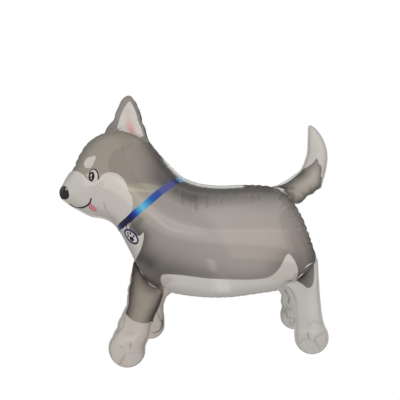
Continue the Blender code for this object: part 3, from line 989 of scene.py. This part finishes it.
rearLeg = {
    "edge": [(-34, 91), (-24.5, 80), (-20.5, 69), (-20, 58), (-22.5, 45), (-25, 31), (-29, 16)]
            + [(x, z + 2.2) for x, z in footArc(30.2, 170, 377, 9)]
            + [(25, 23), (24.5, 38), (28, 62), (33, 85), (37.5, 107), (41, 126), (40, 133),
               (28, 125), (14, 115), (3, 105), (-12, 98)],
    "place": (184.5, -legOut, 29.7),
    "swell": 1.25,
    "weld": rearWeld,
    "colours": {"light": (160, 154, 146), "dark": (62, 60, 56), "white": (196, 193, 189),
                "cream": (191, 187, 182)},
    "bow": legBow(((44, 142, 10), (-29, 91, 54))),
    "farSide": {"lean": 6, "flare": 10, "footForward": 4, "nearer": 9, "lower": 1.3},
    "patch": [(-10, 97.4), (-0.6, 90.0), (8.5, 82.7), (17.6, 86.2), (25.6, 100.9), (30.2, 122),
              (30, 140), (8, 125), (-14, 110)],
    "seed": 23,
    "gathers": {"stretches": [((-24, 36), (-30, 10), 0.2), ((24, 60), (27, 20), 0.15)],
                "pitch": (15.0, 26.0), "reach": (4.0, 10.0),
                "pull": 1.8, "depth": 0.22, "sway": 0.5},
    "finer": [(-31, 31, -29, 32, 2.2)],
    "folds": [
        fold([(-25.2, -8.7), (-20.0, -0.1), (-12, 2.6), (-5, 1.8), (0.9, -1.9), (6.7, -11.2)], 2.6,
             1.2, 0.2, nearSheet),
        fold([(24.6, 12.5), (14, 7.6), (3.5, 3.3), (3.9, -2.1), (9.8, -13.7), (14, -20)], 2.6, 1.4,
             0.27, nearSheet),
        fold([(-8.1, 15.1), (-8.0, 6.8), (-7.9, 2.6)], 1.9, 1.0, 0.6, nearSheet),
        fold([(-9.3, 25.1), (5.8, 31.4), (13.1, 28.7), (20, 23)], 4.0, 1.0, 0.14, nearSheet),
        fold([(-8, 76), (-9.0, 60), (-8.5, 46), (-8.5, 37), (-12, 27)], 3.2, 2.4, 0.6, farSheet),
        fold([(-16, 27), (-19.5, 17), (-25, 8)], 2.8, 1.6, 0.42, farSheet),
        fold([(-14.8, 19.9), (-12, 18.8), (-9.1, 17.7)], 2.0, 1.0, 0.6, farSheet),
        fold([(-18.1, 13), (-17.2, 5.4), (-13.5, -1.2)], 2.3, 1.4, 0.6, farSheet),
        fold([(-13.6, -1.8), (-9, 0.4), (-5.3, 0.9)], 2.6, 1.0, 0.3, farSheet),
        fold([(-1.0, 2.5), (-0.4, -5), (-1.9, -15)], 3.2, 1.6, 0.62, farSheet),
        fold([(-19, -20), (-13, -15.6), (-6, -16.4), (-1, -21)], 2.2, 1.0, 0.35, farSheet),
        fold([(-14, -6), (-10, -10), (-8, -15)], 4.5, 1.0, 0.3, farSheet),
    ],
    "airbrush": [([(-14, 97), (3, 105), (14, 115), (28, 125), (40, 133)], 15, 0.75),
                 ([(-12, 98), (-4, 92), (6, 86), (18, 84)], 40, 0.55)],
    "lips": [{"line": [(177.0, 129.2), (183, 133.6), (190.9, 139.5)], "width": 1.8, "lift": 1.6},
             {"line": [(191.2, 148.2), (200, 152.6), (213.3, 156.6)], "width": 1.9, "lift": 1.6}],
}


# the film of a leg or the tail, grey on white
def legMaterial(name, colours):
    light, dark, white, cream = (tone(*colours[key])
                                 for key in ("light", "dark", "white", "cream"))
    g = Graph.forMaterial(name)
    # the shade attribute is sprayed ink, with painted shade under the crease at the front leg's
    # top
    shade = g.attribute("shade")
    if "mottle" in colours:
        blotch = g.math("SUBTRACT", g.noise(190, 2), 0.5)
        shade = g.math("ADD", shade, g.times(blotch, colours["mottle"]))
    grey = g.mix(shade, light, dark)
    whites = g.mix(g.cloud(16, 0.42, 0.6, 0.6), white, cream)
    # painted shade: the whites darken toward the seam, and the film darkens along its folds
    whites = g.mix(g.attribute("outline"), whites, inks["outline"])
    colour = g.mix(g.printed("grey"), whites, grey)
    colour = g.mix(g.attribute("folds"), colour, tone(74, 64, 58))
    colour = g.mix(g.printed("bare", 0.5), colour, inks["silver"])
    return g.foil(colour, legFinish)


# a vertex in its leg's own drawing
def onSheet(vertex, place):
    return vertex.co.x * 1000 - drawnShift - place[0], vertex.co.z * 1000 - place[2]


def printLeg(piece, made, grey, passes, outline):
    flat = made["flat"]
    whiteWeld = made["weld"] & ((flat[:, 0] < 5) | made["lip"])
    paint(piece, "grey", np.where((made["side"] > 0) | whiteWeld, film["unprinted"], grey))
    paint(piece, "shade", airbrush(flat, passes))
    # painted shade: the whites darken toward the seam
    paint(piece, "outline", outline * np.exp(-made["inside"] / 3.0) * (made["beyond"] < 3.5))
    paint(piece, "bare", bareFoil(made))
    paint(piece, "folds", made["folds"])


frontPiece, made = makeFoil("front_leg_film_left", frontLeg, [bodyTree])
sock = region(made["flat"], frontLeg["sock"], frontLeg["sockOutside"])
printLeg(frontPiece, made, sock, frontLeg["airbrush"], 0.3)
frontMat = legMaterial("front leg film", frontLeg["colours"])
frontOther = otherSide(frontPiece, "front_leg_film_right")
# the far front leg's back edge runs straighter
far = frontLeg["farSide"]
for vertex in frontOther.data.vertices:
    x, z = onSheet(vertex, frontLeg["place"])
    lean = float(np.interp(z, far["z"], far["lean"])) * float(ease(x, 5, 45))
    vertex.co.x += (far["footBack"] * float(ease(-z, -45, -20)) - lean) / 1000
finishFoil(frontPiece, "front_leg_left", frontMat)
finishFoil(frontOther, "front_leg_right", frontMat)

rearPiece, made = makeFoil("rear_leg_film_left", rearLeg, [bodyTree])
thigh = softPatch(made["flat"], rearLeg["patch"])
printLeg(rearPiece, made, thigh, rearLeg["airbrush"], 0.04)
rearMat = legMaterial("rear leg film", rearLeg["colours"])
rearOther = otherSide(rearPiece, "rear_leg_film_right")
# the far rear leg leans and flares to the front, and its foot stands a little nearer
far = rearLeg["farSide"]
for vertex in rearOther.data.vertices:
    x, z = onSheet(vertex, rearLeg["place"])
    lean = far["lean"] * float(ease(z, 18, 36)) + far["flare"] * float(ease(z, 46, 66))
    foot = far["footForward"] * float(ease(-z, -26, -4))
    vertex.co.x -= (lean * float(ease(-x, -25, 18)) + foot) / 1000
    vertex.co.y -= far["nearer"] * float(ease(-z, -40, 0)) / 1000
    vertex.co.z -= far["lower"] * float(ease(-z, -16, 4)) / 1000
finishFoil(rearPiece, "rear_leg_left", rearMat)
finishFoil(rearOther, "rear_leg_right", rearMat)
print("legs made")

# tail and ears


def tailWeld(x, z):
    atRoot = rise(-x, -214, -190) * (z > 300)
    return (3.2 + 2.2 * atRoot) * max(rise(x, 146, 176), 0.2)


tail = {
    "edge": [(236.0, 432.8), (240.5, 435.2), (247.9, 430.3), (256.2, 419.2), (263.4, 404.4),
             (268.2, 386.6), (269.0, 367.1), (265.2, 346.5), (260.0, 330), (253.8, 313.5),
             (249.6, 303.4), (243.6, 300.6), (236.6, 296.6), (231, 291.6), (222.4, 290),
             (216.5, 285.0), (210.4, 279.2), (202.1, 275.0), (192.7, 275.4), (186.3, 281.6),
             (180, 293), (172.5, 303), (163, 309), (151.5, 312.6), (151.2, 314.8), (162, 317.6),
             (177, 323.2), (189, 329.6), (201, 337), (212.9, 346.3), (222.1, 362.8),
             (227.8, 377.5), (231.6, 401.0), (234.4, 422.5)],
    "swell": 1.0,
    "weld": tailWeld,
    "colours": {"light": (180, 173, 163), "dark": (58, 56, 54),
                "white": (204, 200, 195), "cream": (198, 192, 187)},
    "seed": 5,
    "gathers": {"stretches": [((206, 278), (262, 332), 0.8), ((262, 332), (245, 435), 0.12)],
                "pitch": (9.0, 15.0), "reach": (4.0, 9.0), "pull": 1.2, "depth": 0.3, "sway": 0.8},
    "folds": [
        fold([(171, 309), (184, 306), (196, 304)], 6.0, 4.0, 0.3),
        fold([(183, 303), (189, 292), (193, 281)], 5.0, 3.0, 0.25),
        fold([(215, 287), (211, 293), (206, 297)], 4.5, 2.5, 0.25),
        fold([(229, 295), (226, 301), (221, 305)], 4.0, 2.0, 0.2),
        fold([(196, 278), (199, 286), (201, 292)], 4.0, 1.8, 0.15),
    ],
    "lips": [{"line": [(157.2, 312.6), (166, 306), (172, 301.4), (178.6, 296.0)],
              "width": 1.9, "lift": 2.0},
             {"line": [(181.8, 292.4), (184, 289.5), (186.6, 286.0)], "width": 1.2, "lift": 2.0}],
    "furOutside": [(262, 300), (230, 270), (160, 270)],
    "fur": [(150, 319), (182.1, 325), (199.1, 336), (213.9, 344), (224.9, 347.8), (236.2, 354.2),
            (246, 366.2), (247.5, 348.5), (251.6, 350.4), (252.2, 338.1), (248.8, 325),
            (252.6, 323.5), (250, 309.9)],
    "airbrush": [([(166, 312), (182, 319), (195, 328), (208, 337)], 14, 0.85),
                 ([(208, 339), (222, 347), (236, 355), (246, 364)], 12, 0.6),
                 ([(170, 303), (180, 294), (187, 283), (194, 277), (206, 278)], 7, 0.45),
                 ([(206, 278), (217, 287), (232, 297), (244, 306), (251, 320), (253, 348)], 8,
                  0.75)],
}
tailPiece, made = makeFoil("tail_film", tail, [bodyTree])
flat = made["flat"]
furEdge = np.array(tail["fur"] + tail["furOutside"])
paint(tailPiece, "grey", np.where(made["lip"], film["unprinted"], patch(flat, furEdge)))
paint(tailPiece, "shade", airbrush(flat, tail["airbrush"]))
# painted shade: the tail's whites darken toward its seam
paint(tailPiece, "outline", 0.22 * np.exp(-made["inside"] / 2.4) * ~made["lip"])
# the weld is bare along the top of the tail's root
root = (flat[:, 0] < 214) & (flat[:, 1] > 306)
paint(tailPiece, "bare", bareFoil(made, root & made["weld"] & (made["beyond"] < 2.9)))
paint(tailPiece, "folds", made["folds"])
finishFoil(tailPiece, "tail", legMaterial("tail film", tail["colours"]))

ear = {
    "edge": [(-98.8, 429.7), (-102.2, 441.9), (-105.2, 456.0), (-106.2, 464.0), (-109.0, 473.3),
             (-113.0, 480.7), (-112.7, 488.7), (-113.9, 496.8), (-117.0, 508.2), (-119.7, 515.5),
             (-122.1, 523.8), (-126.5, 531.3), (-131.9, 534.8), (-137.8, 534.4), (-146.2, 529.4),
             (-153.4, 520), (-155.8, 514.4), (-160.2, 507.2), (-164.6, 499), (-167.2, 489),
             (-170.4, 484.4), (-181, 474.6), (-187, 466.2), (-190.5, 455.6), (-173.5, 434.5),
             (-137.5, 424)],
    "swell": 0.62,
    "weld": lambda x, z: 3.6,
    "colours": {"light": (152, 147, 142), "pink": (206, 142, 138), "crease": (110, 84, 80)},
    "seed": 8,
    "place": (-0.8, -12.2, 0.0),
    "gathers": {"stretches": [((-103, 450), (-182, 462), 0.3)],
                "pitch": (18.0, 28.0), "reach": (4.0, 8.0),
                "pull": 1.0, "depth": 0.2, "sway": 0.3},
    "folds": [fold([(-160, 466), (-152, 470), (-146, 462)], 4.0, 1.2, 0.16, nearSheet),
              fold([(-146, 474), (-141, 466), (-139, 459)], 4.0, 1.2, 0.14, nearSheet)],
    "lines": [([(-158, 461), (-150, 460), (-145, 457), (-141, 455.5), (-131, 451), (-120, 446),
                (-110, 442)], 3.0)],
    "lips": [{"line": [(-163.9, 461.6), (-157.2, 463), (-151.0, 462), (-146.5, 458.8),
                       (-142.2, 456.8), (-131.6, 452.6), (-121.1, 447.2), (-111.8, 444)],
              "width": 2.0, "lift": 3.6}],
    "inner": [(-131.4, 520.7), (-137.6, 514), (-144.8, 503.5), (-152.6, 487.3), (-158.6, 470),
              (-163.2, 458), (-161, 449), (-137.7, 446), (-118, 439), (-107.5, 441), (-107.3, 452),
              (-111, 464), (-113.7, 470.8), (-117.7, 490.7), (-123.6, 508.2)],
    "tuck": {"x": (-163, -156, -150, -145, -141, -131, -120, -111, -100),
             "z": (462, 463, 462, 459, 457.5, 453, 448, 444, 442)},
    "blush": [(-129, 452), (-132, 464), (-135, 500)],
}
earPiece, made = makeFoil("ear_film_left", ear, [bodyTree])
flat = made["flat"]
inner = softPatch(flat, ear["inner"])
# below the bright edge the ear is tucked into the grey on top of the head, and is painted darker
# there as shade
tuck = np.interp(flat[:, 0], ear["tuck"]["x"], ear["tuck"]["z"])
flap = np.minimum.reduce([tuck - 1.4 - flat[:, 1], flat[:, 1] - tuck + 4.4,
                          flat[:, 0] + 156, -112 - flat[:, 0]])
inner = np.maximum(np.minimum(inner, flat[:, 1] - tuck), flap)
paint(earPiece, "white", np.where((made["side"] > 0) | made["weld"], film["unprinted"], inner))
pinkAway, _ = lineDistance(flat, curveThrough(ear["blush"], 8), False)
pinker = 0.24 + 0.6 * ease(-flat[:, 1], -486, -456)
paint(earPiece, "pink", np.exp(-(pinkAway / 8.5) ** 2) * pinker)
# painted shade: darker at the ear's root and lower left, toward its seam, and below the tuck
rootShade = 0.3 * ease(-flat[:, 1], -494, -462) * ease(-flat[:, 0], 140, 165)
shade = 0.05 + rootShade + 0.14 * np.exp(-made["inside"] / 3.0)
paint(earPiece, "shade", np.where(flat[:, 1] < tuck - 0.2, 0.25, shade))
paint(earPiece, "folds", made["folds"])
paint(earPiece, "bare", bareFoil(made))


def earMaterial():
    g = Graph.forMaterial("ear film")
    light, pink, crease = (tone(*ear["colours"][key]) for key in ("light", "pink", "crease"))
    # painted shade: the grey darkens by the ear's shade, and the film along its folds takes the
    # crease colour
    grey = g.mix(g.attribute("shade"), light, inks["dark"])
    inner = g.mix(g.attribute("pink"), inks["white"], pink)
    colour = g.mix(g.printed("white"), grey, inner)
    colour = g.mix(g.attribute("folds"), colour, crease)
    colour = g.mix(g.printed("bare", 0.5), colour, inks["silver"])
    return g.foil(colour, legFinish)


earMat = earMaterial()
earOther = otherSide(earPiece, "ear_film_right")
finishFoil(earPiece, "ear_left", earMat)
finishFoil(earOther, "ear_right", earMat)
print("tail and ears made")

# light and camera

# what the foil mirrors: soft patches by direction, x to the right, z up, behind the camera
mirrored = {
    "wall": [(0.0, 0.5), (0.2, 0.45), (0.3, 0.42), (0.46, 0.42), (0.56, 0.42), (0.7, 0.5),
             (1.0, 0.62)],
    "behind": 0.4,
    "patches": [
        {"x": (0.09, 0.80), "z": (-0.42, 0.94), "soft": 0.03, "light": 0.40},
        {"x": (-0.42, 0.0), "z": (0.08, 0.40), "soft": 0.05, "light": 0.28},
        {"x": (-0.9, 0.9), "z": (-0.08, 0.22), "soft": 0.03, "light": 0.42},
        {"x": (-0.9, 0.9), "z": (0.24, 0.31), "soft": 0.02, "light": 0.6},
        {"x": (-0.115, 0.0), "z": (-1.1, -0.72), "soft": 0.012, "light": 0.4},
        {"x": (-0.115, -0.06), "z": (-0.72, -0.45), "soft": 0.012, "light": 1.0},
    ],
}


def studioWorld():
    world = bpy.data.worlds.new("studio")
    bpy.context.scene.world = world
    world.use_nodes = True
    g = Graph(world.node_tree)
    g.nodes.clear()
    place = g.nodes.new("ShaderNodeTexCoord")
    split = g.nodes.new("ShaderNodeSeparateXYZ")
    g.links.new(place.outputs["Generated"], split.inputs["Vector"])
    x, y, z = split.outputs
    height = g.math("MULTIPLY_ADD", z, 0.5, 0.5)
    total = g.ramp(height, [(at, (v, v, v, 1)) for at, v in mirrored["wall"]])
    behind = g.step(y, -0.1, 0.5)
    total = g.times(total, g.without(g.times(behind, 1 - mirrored["behind"])))
    front = g.step(g.times(y, -1.0), -0.6, -0.3)
    for item in mirrored["patches"]:
        s = item["soft"]
        mask = front
        for source, (low, high) in ((x, item["x"]), (z, item["z"])):
            mask = g.times(mask, g.step(source, low - s, low + s))
            mask = g.times(mask, g.without(g.step(source, high - s, high + s)))
        total = g.math("ADD", total, g.times(mask, item["light"]))
    mirror = g.background(g.math("MAXIMUM", total, 0.03), 1.0)
    soft = g.background((1.0, 0.985, 0.97, 1), 0.86)
    seen = g.background((1, 1, 1, 1), 1.0)
    path = g.nodes.new("ShaderNodeLightPath")
    surface = g.blend(path.outputs["Is Glossy Ray"], soft, mirror)
    surface = g.blend(path.outputs["Is Camera Ray"], surface, seen)
    output = g.nodes.new("ShaderNodeOutputWorld")
    g.links.new(surface, output.inputs["Surface"])


studioWorld()

lights = {
    "key": {"at": (-0.5, -1.5, 1.6), "size": (1.6, 1.0), "power": 5},
}
for name, lamp in lights.items():
    data = bpy.data.lights.new(name, "AREA")
    data.shape = "RECTANGLE"
    data.size, data.size_y = lamp["size"]
    data.energy = lamp["power"]
    holder = bpy.data.objects.new(name, data)
    holder.location = lamp["at"]
    aim = Vector((0, 0, 0.27)) - Vector(lamp["at"])
    holder.rotation_euler = aim.to_track_quat("-Z", "Y").to_euler()
    holder.visible_glossy = False
    bpy.context.scene.collection.objects.link(holder)

shot = {"at": (0.0791, -0.8643, 0.2384), "azimuth": 4.18, "elevation": -4.07, "roll": -4.71,
        "focal": 414.4, "across": 400, "sensor": 36.0}  # focal length and width in pixels
az, el, roll = (math.radians(shot[k]) for k in ("azimuth", "elevation", "roll"))
back = Vector((math.sin(az) * math.cos(el), -math.cos(az) * math.cos(el), math.sin(el)))
right = (-back).cross(Vector((0, 0, 1))).normalized()
up = back.cross(right)
camRight = right * math.cos(roll) + up * math.sin(roll)
camUp = -right * math.sin(roll) + up * math.cos(roll)
pose = Matrix((camRight, camUp, back)).transposed().to_4x4()
pose.translation = Vector(shot["at"])
camera = bpy.data.objects.new("camera", bpy.data.cameras.new("camera"))
camera.data.sensor_width = shot["sensor"]
camera.data.lens = shot["focal"] / shot["across"] * shot["sensor"]
camera.matrix_world = pose
bpy.context.scene.collection.objects.link(camera)
bpy.context.scene.camera = camera
bpy.context.scene.view_settings.view_transform = "Standard"
bpy.context.scene.view_settings.look = "None"
